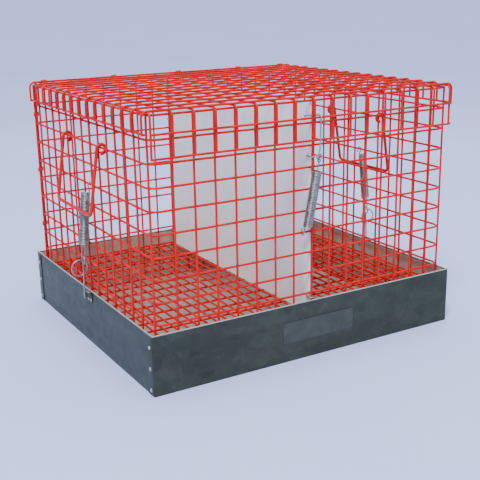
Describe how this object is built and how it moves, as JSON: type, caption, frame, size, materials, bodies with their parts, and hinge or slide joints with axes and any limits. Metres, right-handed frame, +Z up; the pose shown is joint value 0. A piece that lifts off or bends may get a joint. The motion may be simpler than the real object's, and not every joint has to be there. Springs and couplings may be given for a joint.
{
  "type": "wire animal cage",
  "caption": "Free-standing two-compartment wire cage for small animals, with a hinged mesh lid, mesh floor, sheet divider, carrying bails and a galvanised tray held by spring latches.",
  "frame": {"origin": "centre of the tray's underside", "axes": "+Z up, +X to the right seen from the front, -Y towards the front, which carries the lid latch and the label plate"},
  "size_m": [0.4694, 0.3881, 0.3145],
  "materials": {
    "galvanised_sheet": "galvanised, faint spangle and handling marks, satin",
    "rivet_steel": "plain pressed rivet head",
    "label_metal": "blank printed plate, satin",
    "coated_wire": "thick orange-red coat, semi-gloss",
    "coated_clip": "orange-red coat, semi-gloss",
    "divider_sheet": "light grey, matt",
    "zinc_wire": "zinc-plated wire",
    "spring_steel": "zinc-plated spring wire"
  },
  "bodies": {
    "tray": {"tray_pan": "galvanised_sheet", "tray_corner_rivets": "rivet_steel", "keeper_rivets": "rivet_steel", "left_tray_keeper": "galvanised_sheet", "right_tray_keeper": "galvanised_sheet", "label_plate": "label_metal"},
    "cage": {"front_wall_mesh": "coated_wire", "back_wall_mesh": "coated_wire", "left_wall_mesh": "coated_wire", "right_wall_mesh": "coated_wire", "wall_seam_clips": "coated_clip", "floor_mesh": "coated_wire", "floor_clips": "coated_clip", "divider_panel": "divider_sheet", "divider_clips": "zinc_wire", "lid_hinge_clips": "coated_clip"},
    "lid": {"lid_top_mesh": "coated_wire", "lid_front_flange": "coated_wire", "lid_left_flange": "coated_wire", "lid_right_flange": "coated_wire"},
    "left_handle": {"left_handle": "coated_wire"},
    "right_handle": {"right_handle": "coated_wire"},
    "lid_latch": {"lid_latch_spring": "spring_steel"},
    "lid_latch_rod": {"lid_latch_hook": "zinc_wire"},
    "left_latch": {"left_latch_spring": "spring_steel"},
    "left_latch_rod": {"left_latch_hook": "zinc_wire"},
    "left_ring": {"left_pull_ring": "zinc_wire"},
    "right_latch": {"right_latch_spring": "spring_steel"},
    "right_latch_rod": {"right_latch_hook": "zinc_wire"},
    "right_ring": {"right_pull_ring": "zinc_wire"}
  },
  "joints": [
    {"name": "cage_lift", "type": "slide", "parent": "tray", "child": "cage", "axis": [0, 0, 1], "range_m": [0, 0.1]},
    {"name": "lid_hinge", "type": "hinge", "parent": "cage", "child": "lid", "pos_m": [0, 0.172, 0.3117], "axis": [-1, 0, 0], "range_deg": [0, 180]},
    {"name": "left_handle_swing", "type": "hinge", "parent": "cage", "child": "left_handle", "pos_m": [-0.204, 0, 0.2561], "axis": [0, 1, 0], "range_deg": [0, 135]},
    {"name": "right_handle_swing", "type": "hinge", "parent": "cage", "child": "right_handle", "pos_m": [0.204, 0, 0.2561], "axis": [0, -1, 0], "range_deg": [0, 135]},
    {"name": "lid_latch_swing", "type": "hinge", "parent": "cage", "child": "lid_latch", "pos_m": [-0.0115, -0.1821, 0.1545], "axis": [1, 0, 0], "range_deg": [0, 110]},
    {"name": "lid_latch_pull", "type": "slide", "parent": "lid_latch", "child": "lid_latch_rod", "axis": [0, 0, 1], "range_m": [0, 0.01], "stiffness_N_per_m": 1800, "deforming": ["lid_latch_spring"]},
    {"name": "left_latch_swing", "type": "hinge", "parent": "cage", "child": "left_latch", "pos_m": [-0.204, -0.012, 0.2053], "axis": [1, 0, 0], "range_deg": [-15, 15]},
    {"name": "left_latch_pull", "type": "slide", "parent": "left_latch", "child": "left_latch_rod", "axis": [0, 0, -1], "range_m": [0, 0.01], "stiffness_N_per_m": 1800, "deforming": ["left_latch_spring"]},
    {"name": "left_ring_swing", "type": "hinge", "parent": "left_latch_rod", "child": "left_ring", "pos_m": [-0.21905, -0.0099, 0.10843], "axis": [0, 1, 0], "range_deg": [-45, 40]},
    {"name": "right_latch_swing", "type": "hinge", "parent": "cage", "child": "right_latch", "pos_m": [0.204, -0.012, 0.2053], "axis": [1, 0, 0], "range_deg": [-15, 15]},
    {"name": "right_latch_pull", "type": "slide", "parent": "right_latch", "child": "right_latch_rod", "axis": [0, 0, -1], "range_m": [0, 0.01], "stiffness_N_per_m": 1800, "deforming": ["right_latch_spring"]},
    {"name": "right_ring_swing", "type": "hinge", "parent": "right_latch_rod", "child": "right_ring", "pos_m": [0.21905, -0.0099, 0.10843], "axis": [0, -1, 0], "range_deg": [-45, 40]}
  ]
}
